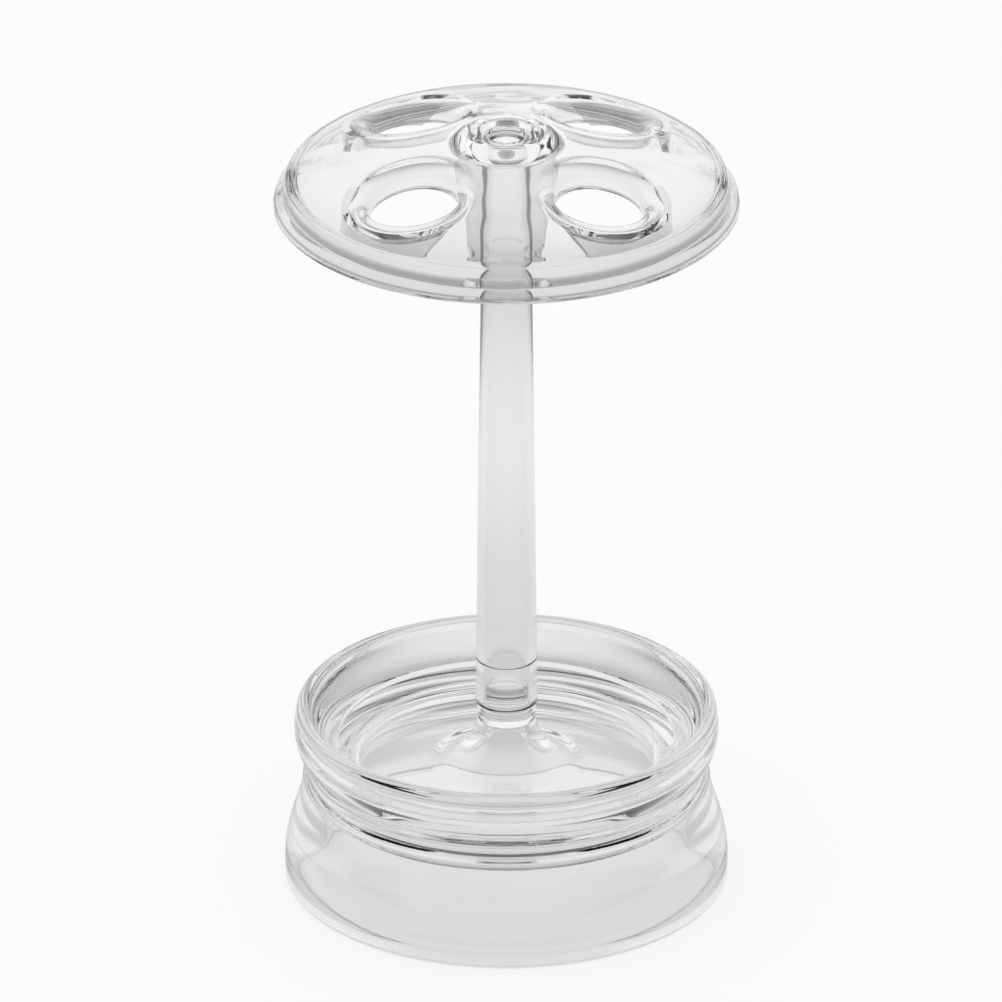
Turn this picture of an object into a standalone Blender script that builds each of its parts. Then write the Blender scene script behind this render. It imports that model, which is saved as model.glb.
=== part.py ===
"""Clear toothbrush stand: a domed disc with four brush holes, on a hollow post, on a drip dish.

Four mouldings of clear styrene plastic. A flared skirt carries the dish, which is bonded to its
top edge. The dish has a boss with a spigot, the hollow post stands on the boss, and the disc's
hub drops over the post's tapered head. Post and disc lift off for washing.

Metres, +Z up, with the origin at the centre of the ring that the stand rests on.
"""

import math

import bmesh
import bpy
from mathutils import Vector

# Whole stand, from what it rests on to the crest of the hub; the post's length follows from it
stand_height = 0.1924

# Fits between the mouldings
seat_gap = 0.0003  # between faces that touch
slip_fit = 0.0003  # radial clearance of a spigot, a tongue or a socket

# Skirt, the flared foot, whose wall is thick at the top and thin at the foot
skirt_height = 0.0254
skirt_top_radius = 0.0480
skirt_pulls = ((0, 0.30), (1, 0.55))
foot_radius = 0.0522
foot_swell_height = 0.0046  # where the skirt is widest
foot_edge_round = 0.0014
seat_radius = 0.0415  # inside the skirt's top
foot_bore_radius = 0.0472  # inside the ring that the stand rests on
foot_lip_radius = 0.0484  # where the hollow is widest
foot_lip_height = 0.0025
hollow_pulls = ((0.42, 0.16), (0.85, 0.42))

# Dish, solid from bowl to outside, with heights counted up from the seam between dish and skirt
floor_wall = 0.0024
tongue_depth = 0.0042  # how far the dish reaches down inside the skirt
tongue_wall = 0.0030
waist_radius = 0.0468
waist_rise = 0.0029
bulge_radius = 0.0500
bulge_rise = 0.0128
rim_radius = 0.0479  # middle of the rounded rim
rim_round = 0.0016
rim_rise = 0.0182
floor_rise = 0.0050
side_pulls = ((0, 0.55), (1, 0.74))
flange_pulls = ((0, 0.45), (0.50, 0.90))

# Steps inside the dish, with heights counted up from its floor
floor_radius = 0.0323
low_step_radius = 0.0361
low_step_rise = 0.0016
high_step_radius = 0.0396
high_step_rise = 0.0052
step_height = 0.0011
bowl_pulls = ((0.45, 0.20), (0.95, 0.55))

# Boss and spigot that carry the post
boss_height = 0.0140
boss_foot_radius = 0.0160
boss_neck_radius = 0.0067
boss_neck_drop = 0.0026  # from the boss's top down to its neck
boss_pulls = ((0, 0.39), (0.40, 1))
core_drop = 0.0050  # from the boss's top down to the hollow under it
core_radius = 0.0045
core_foot_radius = 0.0185
core_pulls = ((0.50, 0.09), (1, 0.45))
spigot_length = 0.0058
spigot_radius = 0.0049

# Post
post_foot_radius = 0.00735
post_head_radius = 0.0056
post_socket_depth = 0.0108
post_bore_foot_radius = 0.0047
post_bore_head_radius = 0.0041
post_edge_round = 0.0004

# Disc, with heights counted down from the hub's crest
disc_wall = 0.0020
disc_radius = 0.05445
disc_drop = 0.0184
disc_edge_round = 0.0005
groove_radius = 0.0530
groove_drop = 0.0148
upper_bead_pull = 0.0010  # how full the bead above the groove is
lower_bead_pull = 0.0014  # how full the bead below it is
shoulder_radius = 0.0513
shoulder_drop = 0.0123
crown_radius = 0.0138  # where the dome starts outside the hub's crest
crown_drop = 0.0021
crown_pulls = ((0.50, 0), (0.50, 0.70))
dome_pulls = ((0.30, 0.26), (0.95, 0.56))

# Hub, which holds the post's head
hub_crest_radius = 0.0098
hub_recess_radius = 0.0086
hub_recess_depth = 0.0011
hub_eye_radius = 0.0047
hub_ledge = 0.0017  # ring inside the hub that rests on the post's end
hub_root_radius = 0.0122
hub_draft = 0.0002  # how much narrower the hub is one wall below its root
hub_tip_radius = 0.0090
hub_reach = 0.0109  # how far the hub hangs below the disc's edge

# Brush holes, each a short funnel under a broad rolled lip
brush_holes = 4
hole_ring_radius = 0.0305
hole_radius = 0.0102
lip_round = 0.0050
funnel_wall = 0.0020
funnel_depth = 0.0061  # from the dome down to the funnel's lower edge

# Tabs, one curved wall outside each funnel, which widens upwards
tab_radius = 0.0165
tab_wall = 0.0017
tab_rise = 0.0030  # from the disc's edge up to a tab's foot
tab_foot_angle = 52.0  # half of the arc that a tab spans at its foot
tab_head_angle = 77.0  # the same under the dome

# Facets
round_facets = 48
post_facets = 32
hole_facets = 28
tab_facets = 12
crown_steps = 4
dome_steps = 9
funnel_angles = (0, 25, 50, 70)  # where the funnel's outside has its points, in its bend
lip_angles = (22, 42, 60, 78)  # the same in the roll of the lip

# Tints of the clear plastic
base_tint = (0.93, 0.94, 0.95)
post_tint = (0.91, 0.91, 0.95)
disc_tint = (0.92, 0.92, 0.95)

# Heights that follow from the sizes above
seam_height = skirt_height + seat_gap
tongue_foot = seam_height - tongue_depth
floor_height = seam_height + floor_rise
underside = floor_height - floor_wall
boss_top = floor_height + boss_height
post_foot = boss_top + seat_gap
hub_crest = stand_height
hub_floor = hub_crest - hub_recess_depth
ledge_height = hub_floor - hub_ledge
post_top = ledge_height - seat_gap
post_length = post_top - post_foot
disc_edge = hub_crest - disc_drop
hub_tip = disc_edge - hub_reach
tab_foot = disc_edge + tab_rise


def arc(centre, radius, start_degrees, end_degrees, steps):
    """Points of a circular arc in the section plane, both ends included."""
    points = []
    for step in range(steps + 1):
        angle = math.radians(start_degrees + (end_degrees - start_degrees) * step / steps)
        points.append((centre[0] + radius * math.cos(angle), centre[1] + radius * math.sin(angle)))
    return points


def bezier(start, start_pull, end_pull, end, steps):
    """Points of a cubic curve in the section plane, both ends included."""
    points = []
    for step in range(steps + 1):
        t = step / steps
        s = 1 - t
        point = Vector(start) * s**3 + Vector(start_pull) * 3 * s * s * t
        point += Vector(end_pull) * 3 * s * t * t + Vector(end) * t**3
        points.append((point.x, point.y))
    return points


def sweep(start, end, pulls, steps):
    """A cubic curve whose two pulls are shares of the way from start to end, across and up."""
    across = end[0] - start[0]
    rise = end[1] - start[1]
    pulled = [(start[0] + out * across, start[1] + up * rise) for out, up in pulls]
    return bezier(start, *pulled, end, steps)


def rounded(start, corner, end, steps):
    """A curve that rounds off a corner between two points."""
    return bezier(start, corner, corner, end, steps)


def beside(path, distance):
    """The path moved sideways by a wall's thickness, to the right of its direction."""
    moved = []
    for index, point in enumerate(path):
        before = Vector(path[max(index - 1, 0)])
        after = Vector(path[min(index + 1, len(path) - 1)])
        along = (after - before).normalized()
        moved.append((point[0] + along.y * distance, point[1] - along.x * distance))
    return moved


def height_on(path, radius):
    """Height of a profile at a radius, along a path whose radii only grow."""
    for inner, outer in zip(path, path[1:]):
        if inner[0] <= radius <= outer[0]:
            share = (radius - inner[0]) / (outer[0] - inner[0])
            return inner[1] + (outer[1] - inner[1]) * share
    return path[-1][1] if radius > path[-1][0] else path[0][1]


def clear_plastic(name, tint):
    """Clear styrene, with a faint tint that shows in its thickness."""
    material = bpy.data.materials.new(name)
    material.use_nodes = True
    shader = material.node_tree.nodes["Principled BSDF"]
    shader.inputs["Base Color"].default_value = (*tint, 1)
    shader.inputs["Roughness"].default_value = 0.03
    shader.inputs["Metallic"].default_value = 0
    shader.inputs["IOR"].default_value = 1.57
    shader.inputs["Transmission Weight"].default_value = 1
    return material


def add_piece(name, builder, origin_height=0, material=None):
    """A mesh object from a finished bmesh, with its origin on the Z axis at a height."""
    bmesh.ops.recalc_face_normals(builder, faces=builder.faces)
    bmesh.ops.translate(builder, verts=builder.verts, vec=(0, 0, -origin_height))
    mesh = bpy.data.meshes.new(name)
    builder.to_mesh(mesh)
    builder.free()
    if material:
        mesh.materials.append(material)
    mesh.shade_smooth()
    mesh.set_sharp_from_angle(angle=math.radians(35))
    piece = bpy.data.objects.new(name, mesh)
    bpy.context.scene.collection.objects.link(piece)
    piece.location.z = origin_height
    return piece


def ring_of(builder, radius, height, facets):
    """A ring of points round the Z axis, or one point where the radius is nothing."""
    if radius == 0:
        return [builder.verts.new((0, 0, height))] * facets
    ring = []
    for step in range(facets):
        angle = 2 * math.pi * step / facets
        ring.append(builder.verts.new((radius * math.cos(angle), radius * math.sin(angle), height)))
    return ring


def join_rings(builder, first, second):
    """Faces between two rings, of which one may be a single point."""
    count = len(first)
    for step in range(count):
        following = (step + 1) % count
        corners = []
        for corner in (first[step], first[following], second[following], second[step]):
            if corner not in corners:
                corners.append(corner)
        builder.faces.new(corners)


def turned(name, section, facets, origin_height=0, material=None):
    """A section in radius and height, turned about the Z axis.

    A section that starts and ends on the axis makes a piece without a bore.
    """
    builder = bmesh.new()
    rings = [ring_of(builder, radius, height, facets) for radius, height in section]
    for first, second in zip(rings, rings[1:]):
        join_rings(builder, first, second)
    if section[0][0] > 0:
        join_rings(builder, rings[-1], rings[0])
    return add_piece(name, builder, origin_height, material)


def combine(piece, operation, tools):
    """Joins the tools to a piece, or cuts them from it, and keeps them out of the render."""
    for tool in tools:
        modifier = piece.modifiers.new(tool.name, "BOOLEAN")
        modifier.operation = operation
        modifier.solver = "EXACT"
        modifier.object = tool
        tool.hide_render = True
        tool.display_type = "WIRE"


def build_skirt():
    """The flared foot: it runs out from the seam, is hollow inside and rests on a flat ring."""
    side = sweep((skirt_top_radius, skirt_height), (foot_radius, foot_swell_height), skirt_pulls, 8)
    edge = arc((foot_radius - foot_edge_round, foot_edge_round), foot_edge_round, 0, -90, 3)
    inside = [(foot_bore_radius, 0)]
    inside += sweep((foot_lip_radius, foot_lip_height), (seat_radius, skirt_height), hollow_pulls, 7)
    plastic = clear_plastic("skirt_plastic", base_tint)
    return turned("base_skirt", side + edge + inside, round_facets, 0, plastic)


def boss_profile():
    """The spigot, the post's seat and the boss's flare, from the axis out to the floor."""
    post_seat_radius = post_foot_radius - post_edge_round
    neck_height = boss_top - boss_neck_drop
    profile = [
        (0, boss_top + spigot_length),
        (spigot_radius - post_edge_round, boss_top + spigot_length),
        (spigot_radius, boss_top + spigot_length - post_edge_round),
        (spigot_radius, boss_top),
        (post_seat_radius, boss_top),
        (post_seat_radius, boss_top - boss_neck_drop / 2),
    ]
    profile += sweep((boss_neck_radius, neck_height), (boss_foot_radius, floor_height), boss_pulls, 6)
    return profile


def dish_bowl():
    """The bowl's upper side: floor, two low steps and the wall up to the rim's crest."""
    low_step_top = floor_height + low_step_rise
    high_step_top = floor_height + high_step_rise
    rim_centre = (rim_radius, seam_height + rim_rise - rim_round)
    wall_head = (rim_radius - rim_round, rim_centre[1])
    profile = [
        (floor_radius, floor_height),
        (low_step_radius, low_step_top - step_height),
        (low_step_radius, low_step_top),
        (high_step_radius, high_step_top - step_height),
    ]
    profile += sweep((high_step_radius, high_step_top), wall_head, bowl_pulls, 5)
    profile += arc(rim_centre, rim_round, 150, 90, 2)
    return profile


def dish_outside():
    """The outer side, from the rim over the bulge and the waist, and out to the seam."""
    rim_centre = (rim_radius, seam_height + rim_rise - rim_round)
    bulge = (bulge_radius, seam_height + bulge_rise)
    waist = (waist_radius, seam_height + waist_rise)
    profile = arc(rim_centre, rim_round, 60, 20, 2)
    profile += sweep(bulge, waist, side_pulls, 7)
    profile += sweep(waist, (skirt_top_radius, seam_height), flange_pulls, 3)[1:]
    return profile


def build_dish():
    """The drip dish: a bowl in a thick ring, with a hollow under its boss."""
    tongue_radius = seat_radius - slip_fit
    tongue = [
        (tongue_radius, seam_height),
        (tongue_radius, tongue_foot),
        (tongue_radius - tongue_wall, tongue_foot),
        (tongue_radius - 2 * tongue_wall, underside),
    ]
    core_top = boss_top - core_drop
    core = sweep((core_foot_radius, underside), (core_radius, core_top), core_pulls, 6)
    section = boss_profile() + dish_bowl() + dish_outside() + tongue + core + [(0, core_top)]
    plastic = clear_plastic("dish_plastic", base_tint)
    return turned("drip_dish", section, round_facets, 0, plastic)


def post_radius(height):
    """The post's outer radius, which tapers evenly from foot to head."""
    share = (height - post_foot) / post_length
    return post_foot_radius + (post_head_radius - post_foot_radius) * share


def build_post():
    """The hollow post, with a socket for the dish's spigot in its foot."""
    socket_radius = spigot_radius + slip_fit
    socket_end = post_foot + post_socket_depth
    section = [
        (post_foot_radius - post_edge_round, post_foot),
        (post_foot_radius, post_foot + post_edge_round),
        (post_head_radius, post_top - post_edge_round),
        (post_head_radius - post_edge_round, post_top),
        (post_bore_head_radius, post_top),
        (post_bore_foot_radius, socket_end),
        (socket_radius, socket_end),
        (socket_radius, post_foot),
    ]
    plastic = clear_plastic("post_plastic", post_tint)
    return turned("post", section, post_facets, post_foot, plastic)


def disc_dome():
    """The disc's upper side, from the hub's crest out to the shoulder."""
    crest = (hub_crest_radius, hub_crest)
    crown = (crown_radius, hub_crest - crown_drop)
    shoulder = (shoulder_radius, hub_crest - shoulder_drop)
    profile = sweep(crest, crown, crown_pulls, crown_steps)
    profile += sweep(crown, shoulder, dome_pulls, dome_steps)[1:]
    return profile


def disc_flange():
    """The stepped flange below the shoulder: two beads with a groove between them."""
    shoulder = (shoulder_radius, hub_crest - shoulder_drop)
    groove = (groove_radius, hub_crest - groove_drop)
    edge = (disc_radius, disc_edge + disc_edge_round)
    upper = bezier(
        shoulder,
        (groove[0] - upper_bead_pull / 2, shoulder[1]),
        (groove[0], groove[1] + upper_bead_pull),
        groove,
        3,
    )
    lower = bezier(
        groove,
        (edge[0] - lower_bead_pull / 2, groove[1]),
        (edge[0], edge[1] + lower_bead_pull),
        edge,
        3,
    )
    return upper[1:] + lower[1:] + [(disc_radius - disc_edge_round, disc_edge)]


def disc_section():
    """The disc's closed section, with the hub that sits on the post."""
    corner = (hub_recess_radius, hub_crest)
    recess = rounded((hub_recess_radius, hub_floor), corner, (hub_crest_radius, hub_crest), 3)
    dome = disc_dome()
    dome_under = beside(dome[crown_steps:], disc_wall)[::-1]
    flange_inside = [
        (disc_radius - disc_wall, disc_edge),
        (groove_radius - disc_wall, hub_crest - groove_drop),
    ]
    root = (hub_root_radius, dome_under[-1][1])
    hub_side = rounded(dome_under[-1], root, (root[0] - hub_draft, root[1] - disc_wall), 3)
    hub_end = [
        (hub_tip_radius, hub_tip + post_edge_round),
        (hub_tip_radius - post_edge_round, hub_tip),
        (post_radius(hub_tip) + slip_fit, hub_tip),
        (post_head_radius + slip_fit, ledge_height),
        (hub_eye_radius, ledge_height),
    ]
    section = [(hub_eye_radius, hub_floor)] + recess + dome[1:] + disc_flange()
    section += flange_inside + dome_under + hub_side[1:] + hub_end
    return section


def around_hole(turn, radius, angle):
    """A point in plan, from one hole's centre, and its distance from the Z axis."""
    x = hole_ring_radius * math.cos(turn) + radius * math.cos(turn + angle)
    y = hole_ring_radius * math.sin(turn) + radius * math.sin(turn + angle)
    return x, y, math.hypot(x, y)


def dome_ring(builder, turn, section, dome):
    """Rings of points round a hole, each at a radius from it and a depth below the dome."""
    rings = []
    for radius, depth in section:
        ring = []
        for step in range(hole_facets):
            angle = 2 * math.pi * (step + 0.5) / hole_facets
            x, y, distance = around_hole(turn, radius, angle)
            ring.append(builder.verts.new((x, y, height_on(dome, distance) - depth)))
        rings.append(ring)
    return rings


def cap_rings(builder, turn, rings, heights):
    """Faces along the rings, closed at both ends over one point each."""
    x, y, distance = around_hole(turn, 0, 0)
    low, high = ([builder.verts.new((x, y, height))] * hole_facets for height in heights)
    closed = [low] + rings + [high]
    for first, second in zip(closed, closed[1:]):
        join_rings(builder, first, second)


def build_funnel(name, turn):
    """A plug under the dome, which the hole then cuts to a funnel of even wall."""
    dome = disc_dome()
    bend = lip_round - funnel_wall
    outer_radius = hole_radius + funnel_wall
    section = [(hole_radius / 2, funnel_depth), (outer_radius, funnel_depth)]
    for degrees in funnel_angles:
        angle = math.radians(degrees)
        radius = hole_radius + lip_round - bend * math.cos(angle)
        section.append((radius, lip_round - bend * math.sin(angle)))
    section.append((hole_radius + lip_round, disc_wall / 2))
    builder = bmesh.new()
    rings = dome_ring(builder, turn, section, dome)
    middle = height_on(dome, hole_ring_radius)
    cap_rings(builder, turn, rings, (middle - funnel_depth, middle - disc_wall / 2))
    return add_piece(name, builder)


def build_tab(name, turn):
    """A curved wall outside a funnel, from inside the dome's wall down to a level foot."""
    dome = disc_dome()
    middle_angle = (tab_foot_angle + tab_head_angle) / 2
    builder = bmesh.new()
    columns = []
    for step in range(tab_facets + 1):
        share = 2 * step / tab_facets - 1
        sides = []
        for radius in (tab_radius, tab_radius - tab_wall):
            x, y, distance = around_hole(turn, radius, math.radians(tab_head_angle * share))
            head = (x, y, height_on(dome, distance) - disc_wall / 2)
            x, y, distance = around_hole(turn, radius, math.radians(middle_angle * share))
            middle = (x, y, (tab_foot + head[2]) / 2)
            x, y, distance = around_hole(turn, radius, math.radians(tab_foot_angle * share))
            sides.append([head, middle, (x, y, tab_foot)])
        corners = sides[0] + sides[1][::-1]
        columns.append([builder.verts.new(corner) for corner in corners])
    for first, second in zip(columns, columns[1:]):
        join_rings(builder, first, second)
    for column in (columns[0], columns[-1]):
        builder.faces.new(column)
    return add_piece(name, builder)


def build_hole(name, turn):
    """A cutter whose lip follows the dome, so that the edge is rolled alike all round."""
    dome = disc_dome()
    section = [(hole_radius, lip_round)]
    for degrees in lip_angles:
        angle = math.radians(degrees)
        radius = hole_radius + lip_round * (1 - math.cos(angle))
        section.append((radius, lip_round * (1 - math.sin(angle))))
    last_radius, last_depth = section[-1]
    before_radius, before_depth = section[-2]
    section.append((2 * last_radius - before_radius, 2 * last_depth - before_depth))
    builder = bmesh.new()
    rings = dome_ring(builder, turn, section, dome)
    low = [builder.verts.new((point.co.x, point.co.y, hub_tip)) for point in rings[0]]
    high = [builder.verts.new((point.co.x, point.co.y, hub_crest + lip_round)) for point in rings[-1]]
    cap_rings(builder, turn, [low] + rings + [high], (hub_tip, hub_crest + lip_round))
    return add_piece(name, builder)


def build_disc():
    """The domed disc, with its holes cut through dome and funnels."""
    plastic = clear_plastic("disc_plastic", disc_tint)
    disc = turned("brush_disc", disc_section(), round_facets, ledge_height, plastic)
    turns = [2 * math.pi * (number + 0.5) / brush_holes for number in range(brush_holes)]
    funnels = [build_funnel(f"funnel_{number + 1}", turn) for number, turn in enumerate(turns)]
    tabs = [build_tab(f"tab_{number + 1}", turn) for number, turn in enumerate(turns)]
    holes = [build_hole(f"hole_{number + 1}", turn) for number, turn in enumerate(turns)]
    combine(disc, "UNION", funnels + tabs)
    combine(disc, "DIFFERENCE", holes)
    return disc


def main():
    for old in list(bpy.data.objects):
        bpy.data.objects.remove(old)
    build_skirt()
    build_dish()
    post = build_post()
    disc = build_disc()
    disc.parent = post
    disc.location.z = ledge_height - post_foot


main()
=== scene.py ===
import math

import bmesh
import bpy
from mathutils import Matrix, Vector


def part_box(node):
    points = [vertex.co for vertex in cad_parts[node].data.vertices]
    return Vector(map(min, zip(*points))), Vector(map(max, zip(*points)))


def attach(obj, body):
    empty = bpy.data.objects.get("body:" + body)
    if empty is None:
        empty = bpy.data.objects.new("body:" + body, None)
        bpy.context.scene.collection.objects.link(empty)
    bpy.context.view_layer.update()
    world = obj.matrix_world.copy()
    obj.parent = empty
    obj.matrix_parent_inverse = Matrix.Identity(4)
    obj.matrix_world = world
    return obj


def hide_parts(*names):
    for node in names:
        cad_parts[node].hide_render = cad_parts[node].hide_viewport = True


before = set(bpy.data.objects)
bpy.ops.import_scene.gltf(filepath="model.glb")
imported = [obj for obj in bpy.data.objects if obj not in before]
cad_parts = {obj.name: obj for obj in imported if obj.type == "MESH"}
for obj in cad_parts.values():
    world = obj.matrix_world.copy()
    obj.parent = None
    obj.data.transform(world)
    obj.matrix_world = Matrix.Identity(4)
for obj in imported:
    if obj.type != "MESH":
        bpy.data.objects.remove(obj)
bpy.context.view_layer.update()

# Clear stand for toothbrushes: a flared skirt, a drip dish, a hollow post and a disc with four brush holes

print("frame loaded:", ", ".join(sorted(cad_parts)))

scene = bpy.context.scene
skirtLow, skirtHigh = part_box("base_skirt")
dishLow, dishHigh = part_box("drip_dish")
postLow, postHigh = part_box("post")
discLow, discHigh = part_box("brush_disc")


# Node trees: a wire carries one socket, and arithmetic on wires adds the Math nodes

class Wire:
    def __init__(self, maker, socket):
        self.maker = maker
        self.socket = socket

    def __add__(self, other):
        return self.maker.math("ADD", self, other)

    def __sub__(self, other):
        return self.maker.math("SUBTRACT", self, other)

    def __rsub__(self, other):
        return self.maker.math("SUBTRACT", other, self)

    def __mul__(self, other):
        return self.maker.math("MULTIPLY", self, other)

    def __truediv__(self, other):
        return self.maker.math("DIVIDE", self, other)


class NodeMaker:
    def __init__(self, tree):
        self.tree = tree

    def node(self, kind, settings=None, values=None):
        made = self.tree.nodes.new(kind)
        for key, value in (settings or {}).items():
            if key == "stops":
                self.setStops(made.color_ramp, value)
            else:
                setattr(made, key, value)
        for key, value in (values or {}).items():
            if isinstance(value, Wire):
                self.tree.links.new(value.socket, made.inputs[key])
            else:
                made.inputs[key].default_value = value
        return made

    def wire(self, kind, settings=None, values=None, out=0):
        return Wire(self, self.node(kind, settings, values).outputs[out])

    def math(self, operation, first, second):
        kind = "ShaderNodeMath"
        return self.wire(kind, {"operation": operation}, {0: first, 1: second})

    def setStops(self, ramp, stops):
        while len(ramp.elements) < len(stops):
            ramp.elements.new(1.0)
        for element, (position, colour) in zip(ramp.elements, stops):
            element.position = position
            element.color = colour


def greyRamp(maker, shades, value):
    stops = [(position, (grey, grey, grey, 1)) for position, grey in shades]
    return maker.wire("ShaderNodeValToRGB", {"stops": stops}, {0: value})


def mixColours(maker, factor, first, second):
    # inputs 6 and 7 are the Mix node's colours, and output 2 is their mix
    mixed = maker.node("ShaderNodeMix", {"data_type": "RGBA"}, {"Factor": factor, 6: first, 7: second})
    return Wire(maker, mixed.outputs[2])


# Section drawing: points are (radius, height) pairs

meshing = {
    "mergeDistance": 2e-6,
    "shortestEdge": 1e-7,
    "sharpAngle": 60.0,
    "leastTurn": 25.0,
    "cornerShare": 0.45,
    "cornerSteps": 4,
}


def arcPoints(centre, radius, startDegrees, endDegrees, steps):
    points = []
    for step in range(steps + 1):
        angle = math.radians(startDegrees + (endDegrees - startDegrees) * step / steps)
        points.append((centre[0] + radius * math.cos(angle), centre[1] + radius * math.sin(angle)))
    return points


def curvePoints(start, startPull, endPull, end, steps):
    points = []
    for step in range(steps + 1):
        t = step / steps
        s = 1 - t
        point = Vector(start) * s**3 + Vector(startPull) * 3 * s * s * t
        point += Vector(endPull) * 3 * s * t * t + Vector(end) * t**3
        points.append((point.x, point.y))
    return points


def sweep(start, end, pulls, steps):
    # a cubic curve whose two pulls are shares of the way from start to end, across and up
    across = end[0] - start[0]
    rise = end[1] - start[1]
    pulled = [(start[0] + out * across, start[1] + up * rise) for out, up in pulls]
    return curvePoints(start, *pulled, end, steps)


def offsetPath(path, distance):
    moved = []
    for index, point in enumerate(path):
        before = Vector(path[max(index - 1, 0)])
        after = Vector(path[min(index + 1, len(path) - 1)])
        along = (after - before).normalized()
        moved.append((point[0] + along.y * distance, point[1] - along.x * distance))
    return moved


def softCorners(section, radius, closed):
    # each corner that turns by more than the least turn becomes a small round
    count = len(section)
    steps = meshing["cornerSteps"]
    softened = []
    for index, point in enumerate(section):
        inner = closed or 0 < index < count - 1
        corner = Vector(point)
        before = Vector(section[(index - 1) % count]) - corner
        after = Vector(section[(index + 1) % count]) - corner
        if not inner or math.degrees(before.angle(-after, 0)) < meshing["leastTurn"]:
            softened.append(point)
            continue
        reach = min(radius, meshing["cornerShare"] * before.length, meshing["cornerShare"] * after.length)
        start = corner + before.normalized() * reach
        end = corner + after.normalized() * reach
        for step in range(steps + 1):
            t = step / steps
            bent = start * (1 - t) ** 2 + corner * 2 * t * (1 - t) + end * t * t
            softened.append((bent.x, bent.y))
    return softened


def heightOn(path, radius):
    for inner, outer in zip(path, path[1:]):
        if inner[0] <= radius <= outer[0]:
            share = (radius - inner[0]) / (outer[0] - inner[0])
            return inner[1] + (outer[1] - inner[1]) * share
    return path[-1][1] if radius > path[-1][0] else path[0][1]


# Geometry Nodes: one tree turns a section about the post, one repeats a quarter of the disc

def newTree(name, inputs):
    tree = bpy.data.node_groups.new(name, "GeometryNodeTree")
    tree.interface.new_socket("Geometry", in_out="INPUT", socket_type="NodeSocketGeometry")
    for label, kind in inputs:
        tree.interface.new_socket(label, in_out="INPUT", socket_type=kind)
    tree.interface.new_socket("Geometry", in_out="OUTPUT", socket_type="NodeSocketGeometry")
    maker = NodeMaker(tree)
    source = maker.node("NodeGroupInput")
    labels = ["Geometry"] + [label for label, kind in inputs]
    return tree, maker, [Wire(maker, source.outputs[label]) for label in labels]


def endTree(maker, geometry, finish):
    real = maker.wire("GeometryNodeRealizeInstances", None, {"Geometry": geometry})
    merged = maker.wire(
        "GeometryNodeMergeByDistance", None, {"Geometry": real, "Distance": meshing["mergeDistance"]}
    )
    coated = maker.wire("GeometryNodeSetMaterial", None, {"Geometry": merged, "Material": finish})
    maker.node("NodeGroupOutput", None, {0: coated})


def buildTurnTree():
    inputs = [("Facets", "NodeSocketInt"), ("Finish", "NodeSocketMaterial")]
    tree, maker, (section, facets, finish) = newTree("turnAboutPost", inputs)
    count = maker.wire("GeometryNodeAttributeDomainSize", None, {"Geometry": section})
    columns = facets + 1
    grid = maker.wire("GeometryNodeMeshGrid", None, {"Vertices X": count, "Vertices Y": columns})
    index = maker.wire("GeometryNodeInputIndex")
    place = maker.wire("GeometryNodeInputPosition")
    row = maker.wire("ShaderNodeMath", {"operation": "FLOOR"}, {0: (index + 0.5) / columns})
    turn = (index - row * columns) / facets * (2 * math.pi)
    drawn = maker.wire(
        "GeometryNodeSampleIndex", {"data_type": "FLOAT_VECTOR"},
        {"Geometry": section, "Value": place, "Index": row},
    )
    parts = maker.node("ShaderNodeSeparateXYZ", None, {0: drawn})
    radius, height = Wire(maker, parts.outputs["X"]), Wire(maker, parts.outputs["Z"])
    cosine = maker.wire("ShaderNodeMath", {"operation": "COSINE"}, {0: turn})
    sine = maker.wire("ShaderNodeMath", {"operation": "SINE"}, {0: turn})
    target = maker.wire("ShaderNodeCombineXYZ", None, {"X": radius * cosine, "Y": radius * sine, "Z": height})
    turned = maker.wire("GeometryNodeSetPosition", None, {"Geometry": grid, "Position": target})
    endTree(maker, turned, finish)
    return tree


def buildRepeatTree():
    inputs = [("Copies", "NodeSocketInt"), ("Finish", "NodeSocketMaterial")]
    tree, maker, (quarter, copies, finish) = newTree("repeatAboutPost", inputs)
    line = maker.wire("GeometryNodeMeshLine", None, {"Count": copies, "Offset": (0, 0, 0)})
    index = maker.wire("GeometryNodeInputIndex")
    turn = maker.wire("ShaderNodeCombineXYZ", None, {"Z": index / copies * (2 * math.pi)})
    placed = maker.wire(
        "GeometryNodeInstanceOnPoints", None, {"Points": line, "Instance": quarter, "Rotation": turn}
    )
    endTree(maker, placed, finish)
    return tree


turnTree = buildTurnTree()
repeatTree = buildRepeatTree()


def throughTree(name, mesh, tree, values):
    # runs a mesh through a tree and returns the result as a plain object at the origin
    start = bpy.data.objects.new(name + "Start", mesh)
    scene.collection.objects.link(start)
    modifier = start.modifiers.new(tree.name, "NODES")
    modifier.node_group = tree
    for item in tree.interface.items_tree:
        if item.in_out == "INPUT" and item.name in values:
            modifier[item.identifier] = values[item.name]
    graph = bpy.context.evaluated_depsgraph_get()
    made = bpy.data.meshes.new_from_object(start.evaluated_get(graph))
    start.modifiers.clear()
    bpy.data.objects.remove(start)
    return finishMesh(name, made)


def finishMesh(name, mesh):
    builder = bmesh.new()
    builder.from_mesh(mesh)
    bmesh.ops.dissolve_degenerate(builder, edges=builder.edges, dist=meshing["shortestEdge"])
    bmesh.ops.recalc_face_normals(builder, faces=builder.faces)
    if builder.calc_volume(signed=True) < 0:
        bmesh.ops.reverse_faces(builder, faces=builder.faces)
    openEdges = sum(1 for edge in builder.edges if len(edge.link_faces) != 2)
    builder.to_mesh(mesh)
    builder.free()
    mesh.shade_smooth()
    mesh.set_sharp_from_angle(angle=math.radians(meshing["sharpAngle"]))
    piece = bpy.data.objects.new(name, mesh)
    scene.collection.objects.link(piece)
    print(f"{name}: {len(mesh.polygons)} faces, {openEdges} open edges")
    return piece


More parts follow.
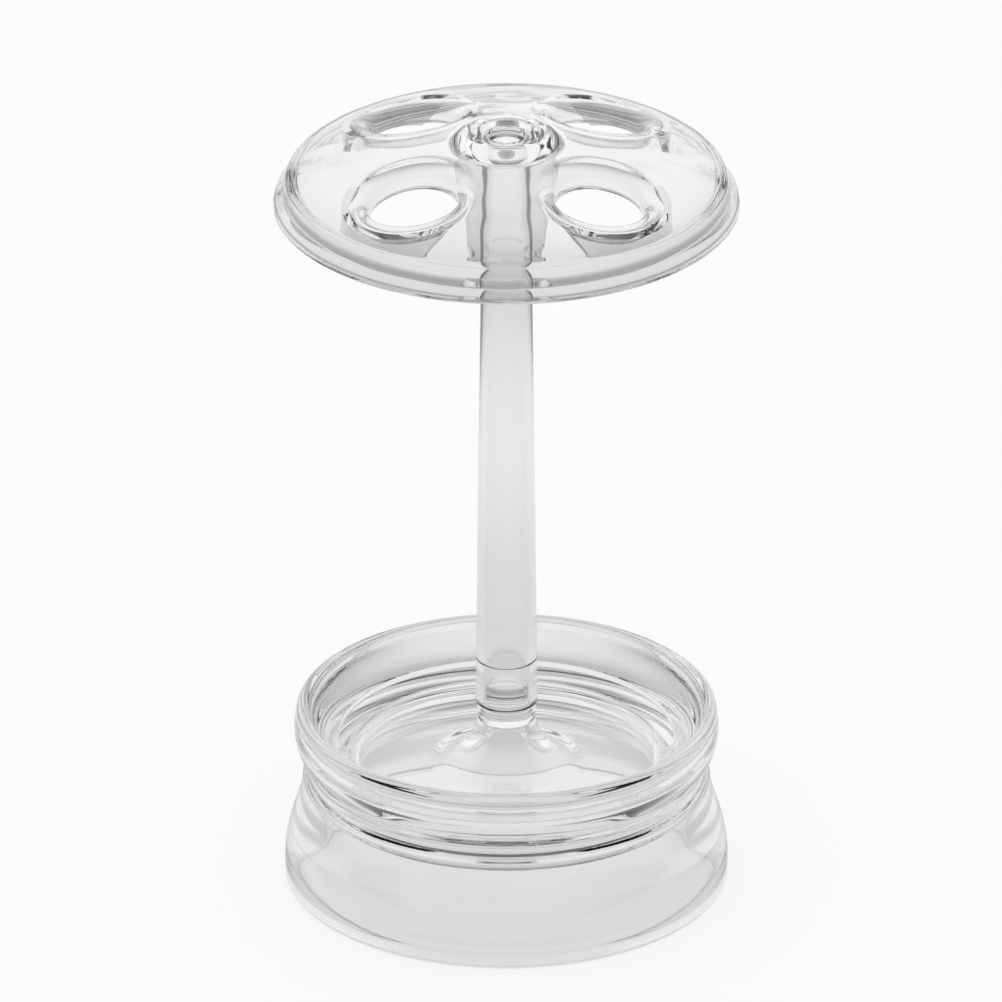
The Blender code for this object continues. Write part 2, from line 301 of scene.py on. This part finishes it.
def sectionMesh(name, section):
    mesh = bpy.data.meshes.new(name)
    points = [(radius, 0, height) for radius, height in section]
    mesh.from_pydata(points, [(step, step + 1) for step in range(len(points) - 1)], [])
    return mesh


def turnedPiece(name, section, facets, finish, closed=False):
    if closed:
        section = section + [section[0]]
    return throughTree(name, sectionMesh(name, section), turnTree, {"Facets": facets, "Finish": finish})


# Finish: clear moulded plastic with faint flow lines and handling marks, and a base colour that follows each
# piece outwards from the post (outTintAndPaintedShade) and upwards (upTintAndPaintedShade): partly the
# plastic's own tint, partly painted shade

def clearPlastic(name, look, low, high):
    material = bpy.data.materials.new(name)
    material.use_nodes = True
    tree = material.node_tree
    tree.nodes.clear()
    maker = NodeMaker(tree)
    place = maker.wire("ShaderNodeTexCoord", out="Object")
    stretched = maker.wire("ShaderNodeMapping", None, {"Vector": place, "Scale": look["flowStretch"]})
    flow = maker.wire(
        "ShaderNodeTexNoise", None,
        {"Vector": stretched, "Scale": look["flowScale"], "Detail": look["flowDetail"],
         "Roughness": look["flowGrain"]},
    )
    marks = maker.wire(
        "ShaderNodeTexNoise", None,
        {"Vector": place, "Scale": look["markScale"], "Detail": look["markDetail"],
         "Roughness": look["markGrain"]},
    )
    tint = maker.wire("ShaderNodeValToRGB", {"stops": look["tintStops"]}, {0: flow})
    flat = maker.wire("ShaderNodeVectorMath", {"operation": "MULTIPLY"}, {0: place, 1: (1, 1, 0)})
    radius = maker.wire("ShaderNodeVectorMath", {"operation": "LENGTH"}, {0: flat}, out="Value")
    parts = maker.node("ShaderNodeSeparateXYZ", None, {0: place})
    outShare = radius / high.x
    upShare = (Wire(maker, parts.outputs["Z"]) - low.z) / (high.z - low.z)
    # these ramps darken the base colour by radius and height: partly the plastic's own tint, partly painted
    # shade
    outShade = greyRamp(maker, look["outTintAndPaintedShade"], outShare)
    upShade = greyRamp(maker, look["upTintAndPaintedShade"], upShare)
    inside = maker.math("LESS_THAN", outShare, look["clearShare"])
    shade = maker.math("MAXIMUM", outShade * upShade, inside)
    # the tabs' base colour is darkened with painted shade
    if look["tabPaintedShade"]:
        marked = maker.wire("ShaderNodeAttribute", {"attribute_name": "tab"}, out="Fac")
        shade = shade * (1 - marked * look["tabPaintedShade"])
    shaded = maker.wire("ShaderNodeVectorMath", {"operation": "SCALE"}, {0: tint, "Scale": shade})
    roughness = greyRamp(maker, look["upRoughness"], upShare) * look["roughness"]
    roughness = roughness + marks * look["markRoughness"]
    normal = maker.wire(
        "ShaderNodeBump", None,
        {"Height": flow, "Strength": look["flowStrength"], "Distance": look["flowDepth"]},
    )
    shader = maker.node(
        "ShaderNodeBsdfPrincipled", None,
        {"Base Color": shaded, "Roughness": roughness, "Normal": normal,
         "IOR": look["index"], "Transmission Weight": 1.0},
    )
    maker.node("ShaderNodeOutputMaterial", None, {"Surface": Wire(maker, shader.outputs[0])})
    return material


plasticLook = {
    "index": 1.57,
    "roughness": 0.0,
    "markRoughness": 0.02,
    "markScale": 260.0,
    "markDetail": 4.0,
    "markGrain": 0.6,
    "flowScale": 60.0,
    "flowDetail": 2.0,
    "flowGrain": 0.45,
    "flowStretch": (1.0, 1.0, 0.25),
    "flowStrength": 0.15,
    "flowDepth": 0.0002,
    "tintStops": [(0.3, (0.98, 0.98, 0.983, 1)), (0.7, (0.995, 0.995, 0.998, 1))],
    "outTintAndPaintedShade": [(0.0, 1.0), (1.0, 1.0)],
    "upTintAndPaintedShade": [(0.0, 1.0), (1.0, 1.0)],
    "upRoughness": [(0.0, 1.0), (1.0, 1.0)],
    "clearShare": 0.0,  # within this share of the outer radius nothing is shaded
    "tabPaintedShade": 0.0,
}
skirtLook = dict(plasticLook, outTintAndPaintedShade=[(0.0, 0.83), (1.0, 0.83)], flowStrength=0.02)
dishLook = dict(
    plasticLook,
    # darker outwards through the thick ring, partly the ring's own tint and partly painted shade; darker low
    # down at the waist, tongue and underside as painted shade under the bulge
    outTintAndPaintedShade=[(0.0, 0.97), (0.60, 0.97), (0.72, 0.94), (0.90, 0.93), (1.0, 0.86)],
    upTintAndPaintedShade=[(0.0, 0.92), (0.25, 0.92), (0.34, 1.0), (1.0, 1.0)],
)
postLook = dict(
    plasticLook,
    roughness=0.2,
    upRoughness=[
        (0.00, 0.15), (0.12, 0.50), (0.30, 0.75), (0.50, 0.60), (0.65, 0.35), (0.80, 0.25), (0.83, 0.00),
        (1.00, 0.00),
    ],
    clearShare=0.78,
    flowStrength=0.04,
    # painted shade: the post is darker towards the dish and towards the disc, lightest in the middle,
    # untinted inside the hub
    upTintAndPaintedShade=[
        (0.00, 0.90), (0.05, 0.86), (0.10, 0.76), (0.18, 0.76), (0.27, 0.80), (0.36, 0.87), (0.45, 0.90),
        (0.54, 0.87), (0.63, 0.80), (0.72, 0.72), (0.80, 0.72), (0.84, 0.94), (1.00, 1.00),
    ],
)
discLook = dict(
    plasticLook,
    tabPaintedShade=0.2,
    flowScale=26.0,
    flowStrength=0.9,
    flowDepth=0.002,
    # darker towards the flange, partly the thicker flange's own tint and partly painted shade; untinted at
    # the hub
    outTintAndPaintedShade=[(0.0, 1.0), (0.20, 1.0), (0.30, 0.93), (0.80, 0.91), (0.92, 0.83), (1.0, 0.80)],
)
skirtFinish = clearPlastic("skirtPlastic", skirtLook, skirtLow, skirtHigh)
dishFinish = clearPlastic("dishPlastic", dishLook, dishLow, dishHigh)
postFinish = clearPlastic("postPlastic", postLook, postLow, postHigh)
discFinish = clearPlastic("discPlastic", discLook, discLow, discHigh)
print("finishes made")


# Skirt: the flared foot, thick at the top and thin at the foot

skirt = {
    "topRadius": 0.0480,
    "sidePulls": ((0, 0.30), (1, 0.55)),
    "swellHeight": 0.0046,
    "edgeRound": 0.0014,
    "seatRadius": 0.0415,
    "boreRadius": 0.0472,
    "lipRadius": 0.0484,
    "lipHeight": 0.0025,
    "hollowPulls": ((0.42, 0.16), (0.85, 0.42)),
    "cornerRound": 0.0004,
    "sideSteps": 32,
    "edgeSteps": 6,
    "hollowSteps": 24,
    "facets": 192,
}


def buildSkirt():
    top = skirtHigh.z
    foot = skirtHigh.x
    soft = skirt["edgeRound"]
    swell = (foot, skirt["swellHeight"])
    lip = (skirt["lipRadius"], skirt["lipHeight"])
    seat = (skirt["seatRadius"], top)
    side = sweep((skirt["topRadius"], top), swell, skirt["sidePulls"], skirt["sideSteps"])
    edge = arcPoints((foot - soft, soft), soft, 0, -90, skirt["edgeSteps"])
    hollow = [(skirt["boreRadius"], 0)] + sweep(lip, seat, skirt["hollowPulls"], skirt["hollowSteps"])
    section = softCorners(side + edge[1:] + hollow, skirt["cornerRound"], True)
    return turnedPiece("skirtShell", section, skirt["facets"], skirtFinish, closed=True)


# Dish: a bowl in a thick ring, on a tongue that reaches into the skirt

dish = {
    "seamGap": 0.0003,
    "tongueDepth": 0.0042,
    "tongueWall": 0.0030,
    "waistRadius": 0.0468,
    "waistRise": 0.0029,
    "bulgeRise": 0.0128,
    "rimRadius": 0.0479,
    "rimRound": 0.0016,
    "rimRise": 0.0182,
    "shoulderPulls": ((0.25, 0.20), (1, 0.60)),
    "sidePulls": ((0, 0.55), (1, 0.74)),
    "flangePulls": ((0, 0.45), (0.50, 0.90)),
    "floorRise": 0.0050,
    "floorWall": 0.0024,
    "floorRadius": 0.0323,
    "lowStepRadius": 0.0361,
    "lowStepRise": 0.0016,
    "highStepRadius": 0.0396,
    "highStepRise": 0.0052,
    "stepHeight": 0.0011,
    "bowlPulls": ((0.45, 0.20), (0.95, 0.55)),
    "bossHeight": 0.0140,
    "bossSeatInset": 0.0004,
    "bossFootRadius": 0.0160,
    "bossNeckRadius": 0.0067,
    "bossNeckDrop": 0.0026,
    "bossPulls": ((0, 0.39), (0.40, 1)),
    "coreDrop": 0.0050,
    "coreRadius": 0.0045,
    "coreFootRadius": 0.0185,
    "corePulls": ((0.50, 0.09), (1, 0.45)),
    "spigotRadius": 0.0049,
    "cornerRound": 0.0003,
    "rimArc": (165, 20),
    "rimSteps": 10,
    "bowlSteps": 24,
    "shoulderSteps": 8,
    "sideSteps": 28,
    "flangeSteps": 8,
    "bossSteps": 24,
    "coreSteps": 20,
    "facets": 192,
}


def bossProfile(floor):
    top = floor + dish["bossHeight"]
    seat = postHigh.x - dish["bossSeatInset"]
    neck = (dish["bossNeckRadius"], top - dish["bossNeckDrop"])
    profile = [
        (0, dishHigh.z),
        (dish["spigotRadius"], dishHigh.z),
        (dish["spigotRadius"], top),
        (seat, top),
        (seat, top - dish["bossNeckDrop"] / 2),
    ]
    foot = (dish["bossFootRadius"], floor)
    return profile + sweep(neck, foot, dish["bossPulls"], dish["bossSteps"])


def bowlProfile(floor, rimCentre):
    lowTop = floor + dish["lowStepRise"]
    highTop = floor + dish["highStepRise"]
    wallHead = (rimCentre[0] - dish["rimRound"], rimCentre[1])
    profile = [
        (dish["floorRadius"], floor),
        (dish["lowStepRadius"], lowTop - dish["stepHeight"]),
        (dish["lowStepRadius"], lowTop),
        (dish["highStepRadius"], highTop - dish["stepHeight"]),
    ]
    profile += sweep((dish["highStepRadius"], highTop), wallHead, dish["bowlPulls"], dish["bowlSteps"])
    return profile + arcPoints(rimCentre, dish["rimRound"], *dish["rimArc"], dish["rimSteps"])


def buildDish():
    seam = skirtHigh.z + dish["seamGap"]
    floor = seam + dish["floorRise"]
    underside = floor - dish["floorWall"]
    rimCentre = (dish["rimRadius"], seam + dish["rimRise"] - dish["rimRound"])
    bulge = (dishHigh.x, seam + dish["bulgeRise"])
    waist = (dish["waistRadius"], seam + dish["waistRise"])
    bowl = bowlProfile(floor, rimCentre)
    flange = (skirt["topRadius"], seam)
    outside = sweep(bowl[-1], bulge, dish["shoulderPulls"], dish["shoulderSteps"])[1:]
    outside += sweep(bulge, waist, dish["sidePulls"], dish["sideSteps"])[1:]
    outside += sweep(waist, flange, dish["flangePulls"], dish["flangeSteps"])[1:]
    tongueRadius = skirt["seatRadius"] - dish["seamGap"]
    tongueFoot = seam - dish["tongueDepth"]
    tongue = [
        (tongueRadius, seam),
        (tongueRadius, tongueFoot),
        (tongueRadius - dish["tongueWall"], tongueFoot),
        (tongueRadius - 2 * dish["tongueWall"], underside),
    ]
    coreTop = floor + dish["bossHeight"] - dish["coreDrop"]
    coreFoot = (dish["coreFootRadius"], underside)
    core = sweep(coreFoot, (dish["coreRadius"], coreTop), dish["corePulls"], dish["coreSteps"])
    section = bossProfile(floor) + bowl + outside + tongue + core + [(0, coreTop)]
    section = softCorners(section, dish["cornerRound"], False)
    return turnedPiece("dishBowl", section, dish["facets"], dishFinish)


# Post: a hollow tapered tube

post = {
    "headRadius": 0.0056,
    "socketRadius": 0.0052,
    "socketDepth": 0.0108,
    "boreFootRadius": 0.0047,
    "boreHeadRadius": 0.0041,
    "edgeRound": 0.0004,
    "facets": 96,
}


def postRadiusAt(height):
    share = (height - postLow.z) / (postHigh.z - postLow.z)
    return postHigh.x + (post["headRadius"] - postHigh.x) * share


def buildPost():
    socketEnd = postLow.z + post["socketDepth"]
    section = [
        (postHigh.x, postLow.z),
        (post["headRadius"], postHigh.z),
        (post["boreHeadRadius"], postHigh.z),
        (post["boreFootRadius"], socketEnd),
        (post["socketRadius"], socketEnd),
        (post["socketRadius"], postLow.z),
    ]
    section = softCorners(section, post["edgeRound"], True)
    return turnedPiece("postTube", section, post["facets"], postFinish, closed=True)


# Disc: a dome with rolled brush holes, tabs below them, a flange and a hub

disc = {
    "wall": 0.0020,
    "drop": 0.01896,
    "grooveRadius": 0.0523,
    "grooveDrop": 0.0156,
    "upperBead": 0.0010,
    "lowerBead": 0.0014,
    "edgeBevel": 0.0005,
    "shoulderRadius": 0.0504,
    "shoulderDrop": 0.0112,
    "domePulls": ((0.34, 0.18), (0.94, 0.70)),
    "crownPulls": ((0.20, 0), (0.55, 0.84)),
    "crownRadius": 0.0138,
    "crownDrop": 0.0021,
    "outerSteps": 64,
    "sideSteps": 26,
    "innerSteps": 28,
    "spread": 14,  # loops between a hole and the quarter's edge
    "quarters": 4,
    "crownSteps": 16,
    "domeSteps": 60,
    "flangeSteps": 10,
}
hub = {
    "crestRadius": 0.0090,
    "recessRadius": 0.0076,
    "recessDepth": 0.0006,
    "eyeRadius": 0.0047,
    "ledge": 0.0017,
    "rootRadius": 0.0114,
    "tipRadius": 0.0090,
    "slip": 0.0003,
    "fillet": 0.0024,
    "roundSteps": 8,
}
hole = {
    "ringRadius": 0.0305,
    "radius": 0.0102,
    "lipRound": 0.0050,
    "wall": 0.0020,
    "depth": 0.0061,
    "edgeRound": 0.0004,
    "tabRadius": 0.0165,
    "tabWall": 0.0017,
    "tabRise": 0.0036,
    "tabFootAngle": 52.0,
    "tabHeadAngle": 77.0,
    "angleSlack": 0.5,
    "tabLevels": 6,
    "lipSteps": 12,
    "bendSteps": 8,
    "edgeSteps": 3,
    "topCrowding": 1.3,  # above 1, the spread loops stand closer near the hole
    "lowCrowding": 1.2,
}


quarterTurn = math.pi / 2
holeBearing = math.pi / 4
holeMiddle = Vector((hole["ringRadius"], hole["ringRadius"])) * math.sqrt(0.5)


def domePath():
    crest = (hub["crestRadius"], discHigh.z)
    crown = (disc["crownRadius"], discHigh.z - disc["crownDrop"])
    shoulder = (disc["shoulderRadius"], discHigh.z - disc["shoulderDrop"])
    path = sweep(crest, crown, disc["crownPulls"], disc["crownSteps"])
    return path + sweep(crown, shoulder, disc["domePulls"], disc["domeSteps"])[1:]


def quarterOutline(innerRadius, outerRadius):
    # points of one quarter's edge in plan, the same number for any radii
    points = []
    for step in range(disc["outerSteps"]):
        angle = quarterTurn * step / disc["outerSteps"]
        points.append(Vector((outerRadius * math.cos(angle), outerRadius * math.sin(angle))))
    for step in range(disc["sideSteps"]):
        points.append(Vector((0, outerRadius + (innerRadius - outerRadius) * step / disc["sideSteps"])))
    for step in range(disc["innerSteps"]):
        angle = quarterTurn * (1 - step / disc["innerSteps"])
        points.append(Vector((innerRadius * math.cos(angle), innerRadius * math.sin(angle))))
    for step in range(disc["sideSteps"]):
        points.append(Vector((innerRadius + (outerRadius - innerRadius) * step / disc["sideSteps"], 0)))
    return points


def joinLoops(builder, first, second, skipped=()):
    for index in range(len(first)):
        following = (index + 1) % len(first)
        if not (index in skipped and following in skipped):
            builder.faces.new((first[index], first[following], second[following], second[index]))


def joinRows(builder, first, second):
    for index in range(len(first) - 1):
        builder.faces.new((first[index], first[index + 1], second[index + 1], second[index]))


def hubSection(under):
    crest = discHigh.z
    floor = crest - hub["recessDepth"]
    ledge = floor - hub["ledge"]
    tip = discLow.z
    steps = hub["roundSteps"]
    corner = (hub["recessRadius"], crest)
    recess = curvePoints((hub["crestRadius"], crest), corner, corner, (hub["recessRadius"], floor), steps)
    down = recess[1:] + [
        (hub["eyeRadius"], floor),
        (hub["eyeRadius"], ledge),
        (post["headRadius"] + hub["slip"], ledge),
        (postRadiusAt(tip) + hub["slip"], tip),
        (hub["tipRadius"], tip),
    ]
    root = (hub["rootRadius"], heightOn(under, hub["rootRadius"]) - hub["fillet"])
    joint = (hub["rootRadius"] + hub["fillet"], heightOn(under, hub["rootRadius"] + hub["fillet"]))
    bend = (root[0], joint[1])
    return down + curvePoints(root, bend, bend, joint, steps)


def flangeSection(under):
    crest = discHigh.z
    edge = crest - disc["drop"]
    wall, bevel = disc["wall"], disc["edgeBevel"]
    upper, lower = disc["upperBead"], disc["lowerBead"]
    steps = disc["flangeSteps"]
    shoulder = (disc["shoulderRadius"], crest - disc["shoulderDrop"])
    groove = (disc["grooveRadius"], crest - disc["grooveDrop"])
    rim = (discHigh.x, edge + bevel)
    over = ((groove[0] - upper / 2, shoulder[1]), (groove[0], groove[1] + upper))
    below = ((rim[0] - lower / 2, groove[1]), (rim[0], rim[1] + lower))
    down = curvePoints(shoulder, *over, groove, steps) + curvePoints(groove, *below, rim, steps)[1:]
    down += [(discHigh.x - bevel, edge), (discHigh.x - wall, edge)]
    behind = ((groove[0] - wall, groove[1]), (under[-1][0], under[-1][1] - wall))
    return down + curvePoints(down[-1], *behind, under[-1], steps)[1:]


def holeLoops(builder, dome, under):
    # closed loops around one hole, from the quarter's edge over the lip, down the funnel and back under the
    # dome; innerTab is the loop that the tab's inner sheet hangs from
    topEdge = quarterOutline(disc["crownRadius"], disc["shoulderRadius"])
    lowEdge = quarterOutline(hub["rootRadius"] + hub["fillet"], under[-1][0])
    ways = [(point - holeMiddle).normalized() for point in topEdge]

    def loopAt(radius, depth, path, edge=None, share=0.0):
        loop = []
        for index, way in enumerate(ways):
            spot = holeMiddle + way * radius
            if edge:
                spot = spot.lerp(edge[index], share)
            height = heightOn(path, spot.length) - depth
            loop.append(builder.verts.new((spot.x, spot.y, height)))
        return loop

    lip = hole["radius"] + hole["lipRound"]
    bend = hole["lipRound"] - hole["wall"]
    soft = hole["edgeRound"]
    loops = []
    for step in range(disc["spread"], -1, -1):
        share = (step / disc["spread"]) ** hole["topCrowding"]
        loops.append(loopAt(lip, 0, dome, topEdge, share))
    for step in range(hole["lipSteps"] - 1, -1, -1):
        angle = math.radians(90 * step / hole["lipSteps"])
        radius = lip - hole["lipRound"] * math.cos(angle)
        loops.append(loopAt(radius, hole["lipRound"] * (1 - math.sin(angle)), dome))
    edgeSpots = arcPoints((soft, soft), soft, 180, 270, hole["edgeSteps"])
    for out, fall in edgeSpots:
        loops.append(loopAt(hole["radius"] + out, hole["depth"] - fall, dome))
    for out, fall in edgeSpots[::-1]:
        spot = hole["radius"] + hole["wall"] - out
        loops.append(loopAt(spot, hole["depth"] - fall, dome))
    bendEnd = math.degrees(math.acos((lip - hole["tabRadius"] + hole["tabWall"]) / bend))
    for step in range(hole["bendSteps"] + 1):
        angle = math.radians(bendEnd * step / hole["bendSteps"])
        depth = hole["lipRound"] - bend * math.sin(angle)
        loops.append(loopAt(lip - bend * math.cos(angle), depth, dome))
    innerTab = len(loops) - 1
    loops.append(loopAt(hole["tabRadius"], 0, under))
    for step in range(1, disc["spread"] + 1):
        share = (step / disc["spread"]) ** hole["lowCrowding"]
        loops.append(loopAt(hole["tabRadius"], 0, under, lowEdge, share))
    return ways, loops, innerTab


def tabColumns(ways):
    # the loop points that the tab hangs from, each with its degrees off the tab's middle
    columns = []
    for index, way in enumerate(ways):
        off = math.degrees(math.atan2(way.y, way.x) - holeBearing)
        off = (off + 180) % 360 - 180
        if abs(off) <= hole["tabHeadAngle"] + hole["angleSlack"]:
            columns.append((off, index))
    return sorted(columns)


def hangTab(builder, innerLoop, outerLoop, columns):
    # two sheets that narrow downwards, closed at the foot and the ends, and marked so that the finish darkens
    # them with painted shade
    tabMark = builder.verts.layers.float["tab"]
    foot = discHigh.z - disc["drop"] + hole["tabRise"]
    narrowing = hole["tabFootAngle"] / hole["tabHeadAngle"] - 1
    sheets = []
    for loop, radius in ((innerLoop, hole["tabRadius"] - hole["tabWall"]), (outerLoop, hole["tabRadius"])):
        rows = [[loop[index] for off, index in columns]]
        for level in range(1, hole["tabLevels"] + 1):
            share = level / hole["tabLevels"]
            row = []
            for off, index in columns:
                angle = holeBearing + math.radians(off * (1 + narrowing * share))
                spot = holeMiddle + Vector((math.cos(angle), math.sin(angle))) * radius
                head = loop[index].co.z
                point = builder.verts.new((spot.x, spot.y, head + (foot - head) * share))
                point[tabMark] = 1.0
                row.append(point)
            rows.append(row)
        for upper, lower in zip(rows, rows[1:]):
            joinRows(builder, upper, lower)
        sheets.append(rows)
    inner, outer = sheets
    joinRows(builder, inner[-1], outer[-1])
    for end in (0, -1):
        for level in range(hole["tabLevels"]):
            innerSide = (inner[level][end], inner[level + 1][end])
            outerSide = (outer[level + 1][end], outer[level][end])
            builder.faces.new(innerSide + outerSide)


def turnQuarter(builder, section, steps):
    rows = []
    for radius, height in section:
        row = []
        for step in range(steps + 1):
            angle = quarterTurn * step / steps
            row.append(builder.verts.new((radius * math.cos(angle), radius * math.sin(angle), height)))
        rows.append(row)
    for first, second in zip(rows, rows[1:]):
        joinRows(builder, first, second)


def buildDisc():
    dome = domePath()
    crownSteps = disc["crownSteps"]
    under = offsetPath(dome[crownSteps:], disc["wall"])
    builder = bmesh.new()
    builder.verts.layers.float.new("tab")
    ways, loops, innerTab = holeLoops(builder, dome, under)
    columns = tabColumns(ways)
    inTab = {index for off, index in columns}
    for number, (first, second) in enumerate(zip(loops, loops[1:])):
        joinLoops(builder, first, second, inTab if number == innerTab else ())
    hangTab(builder, loops[innerTab], loops[innerTab + 1], columns)
    # the crown with the hub, and the flange, have the same points at the quarter's edge as the loops
    turnQuarter(builder, dome[:crownSteps + 1][::-1] + hubSection(under), disc["innerSteps"])
    turnQuarter(builder, flangeSection(under), disc["outerSteps"])
    bmesh.ops.remove_doubles(builder, verts=builder.verts, dist=meshing["mergeDistance"])
    mesh = bpy.data.meshes.new("discQuarter")
    builder.to_mesh(mesh)
    builder.free()
    return throughTree("discTop", mesh, repeatTree, {"Copies": disc["quarters"], "Finish": discFinish})


pieces = (
    (buildSkirt(), "base", "base_skirt", "skirt_plastic"),
    (buildDish(), "base", "drip_dish", "dish_plastic"),
    (buildPost(), "upright", "post", "post_plastic"),
    (buildDisc(), "holder", "brush_disc", "disc_plastic"),
)
for piece, body, node, slot in pieces:
    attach(piece, body)
    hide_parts(node)
print("pieces placed")


# Stage, light and camera
# The stops are what the clear plastic sees: the floor by its distance from the post, with a painted shadow
# ring around the foot and painted shade farther out, dark flags at both sides, and the room, backdrop and
# ceiling by height and depth. The camera itself sees white.

stage = {
    "floorRadius": 3.0,
    "floorColour": (0.95, 0.95, 0.95, 1),
    "floorLift": 0.85,
    "floorPaintedShadeStops": [
        (0.00, 1.00), (0.050, 1.00), (0.056, 0.60), (0.072, 0.60), (0.084, 1.00), (0.42, 1.00), (0.70, 0.55),
        (1.00, 0.40),
    ],
    "flagStops": [
        (0.00, 0.15), (0.05, 0.35), (0.12, 1.00), (0.70, 1.00), (0.82, 0.70), (0.93, 0.30), (1.00, 0.15),
    ],
    "roomStops": [
        (0.00, 1.00), (0.50, 1.00), (0.56, 0.70), (0.62, 0.15), (0.85, 0.12), (0.92, 0.40), (1.00, 0.40),
    ],
    "backdropStops": [(0.00, 0.00), (0.45, 0.00), (0.62, 1.00), (1.00, 1.00)],
    "ceilingStops": [(0.00, 1.00), (0.86, 1.00), (0.91, 0.45), (0.95, 0.25), (1.00, 0.25)],
    "bounces": 24,
    "glossBounces": 12,
}


def buildFloor():
    mesh = bpy.data.meshes.new("floor")
    reach = stage["floorRadius"]
    corners = [(-reach, -reach, 0), (reach, -reach, 0), (reach, reach, 0), (-reach, reach, 0)]
    mesh.from_pydata(corners, [], [(0, 1, 2, 3)])
    material = bpy.data.materials.new("floorPaper")
    material.use_nodes = True
    material.node_tree.nodes.clear()
    maker = NodeMaker(material.node_tree)
    paper = maker.wire("ShaderNodeBsdfDiffuse", None, {"Color": stage["floorColour"]})
    place = maker.wire("ShaderNodeTexCoord", out="Object")
    away = maker.wire("ShaderNodeVectorMath", {"operation": "LENGTH"}, {0: place}, out="Value")
    # the floor seen through and in the plastic glows darker in a ring around the foot, a painted shadow, and
    # darker far out, painted shade; the camera sees it evenly white
    paintedFloorShade = greyRamp(maker, stage["floorPaintedShadeStops"], away)
    path = maker.node("ShaderNodeLightPath")
    direct = Wire(maker, path.outputs["Is Camera Ray"])
    bent = Wire(maker, path.outputs["Is Glossy Ray"]) + Wire(maker, path.outputs["Is Transmission Ray"])
    glow = maker.wire(
        "ShaderNodeEmission", None, {"Color": (1, 1, 1, 1), "Strength": direct + (1 - direct) * paintedFloorShade}
    )
    lifted = maker.math("MINIMUM", direct + bent, 1.0) * stage["floorLift"]
    mixed = maker.wire("ShaderNodeMixShader", None, {0: lifted, 1: paper, 2: glow})
    maker.node("ShaderNodeOutputMaterial", None, {"Surface": mixed})
    mesh.materials.append(material)
    floor = bpy.data.objects.new("floor", mesh)
    scene.collection.objects.link(floor)


def buildWorld():
    world = bpy.data.worlds.new("studio")
    scene.world = world
    world.use_nodes = True
    world.node_tree.nodes.clear()
    maker = NodeMaker(world.node_tree)
    way = maker.wire("ShaderNodeTexCoord", out="Generated")
    parts = maker.node("ShaderNodeSeparateXYZ", None, {0: way})
    # each axis of the ray's way, which runs from -1 to 1, as a share from 0 to 1
    rise, aside, behind = (Wire(maker, parts.outputs[axis]) * 0.5 + 0.5 for axis in "ZXY")
    room = greyRamp(maker, stage["roomStops"], rise)
    backdrop = greyRamp(maker, stage["backdropStops"], behind)
    ceiling = greyRamp(maker, stage["ceilingStops"], rise)
    flags = greyRamp(maker, stage["flagStops"], aside)
    around = 1 - (1 - room) * (1 - backdrop)
    level = around * ceiling * flags
    seen = maker.wire("ShaderNodeVectorMath", {"operation": "SCALE"}, {0: (1, 1, 1), "Scale": level})
    path = maker.node("ShaderNodeLightPath")
    lit = Wire(maker, path.outputs["Is Diffuse Ray"])
    plain = Wire(maker, path.outputs["Is Camera Ray"])
    colour = mixColours(maker, plain, mixColours(maker, lit, seen, flags), (1, 1, 1, 1))
    light = maker.wire("ShaderNodeBackground", None, {"Color": colour, "Strength": 1.0})
    maker.node("ShaderNodeOutputWorld", None, {"Surface": light})


camera = {
    "elevation": 25.83,
    "distance": 6.0,
    "pixelsPerMetre": 4266.0,
    "imageSize": 1002,
    "postColumn": 506.5,
    "originRow": 873.0,
    "aimHeight": 0.0962,
    "clipEnd": 100,
}


def buildCamera():
    rise = math.radians(camera["elevation"])
    aim = Vector((0, 0, camera["aimHeight"]))
    back = Vector((0, -math.cos(rise), math.sin(rise)))
    lens = bpy.data.cameras.new("camera")
    lens.lens = lens.sensor_width * camera["pixelsPerMetre"] * camera["distance"] / camera["imageSize"]
    lens.clip_end = camera["clipEnd"]
    half = camera["imageSize"] / 2
    lens.shift_x = (half - camera["postColumn"]) / camera["imageSize"]
    aimRow = camera["originRow"] - camera["aimHeight"] * camera["pixelsPerMetre"] * math.cos(rise)
    lens.shift_y = (aimRow - half) / camera["imageSize"]
    holder = bpy.data.objects.new("camera", lens)
    holder.location = aim + back * camera["distance"]
    holder.rotation_euler = back.to_track_quat("Z", "Y").to_euler()
    scene.collection.objects.link(holder)
    scene.camera = holder


buildFloor()
buildWorld()
buildCamera()
scene.view_settings.view_transform = "Standard"
scene.cycles.use_denoising = True
scene.cycles.max_bounces = stage["bounces"]
scene.cycles.transmission_bounces = stage["bounces"]
scene.cycles.glossy_bounces = stage["glossBounces"]
print("stage, light and camera set")
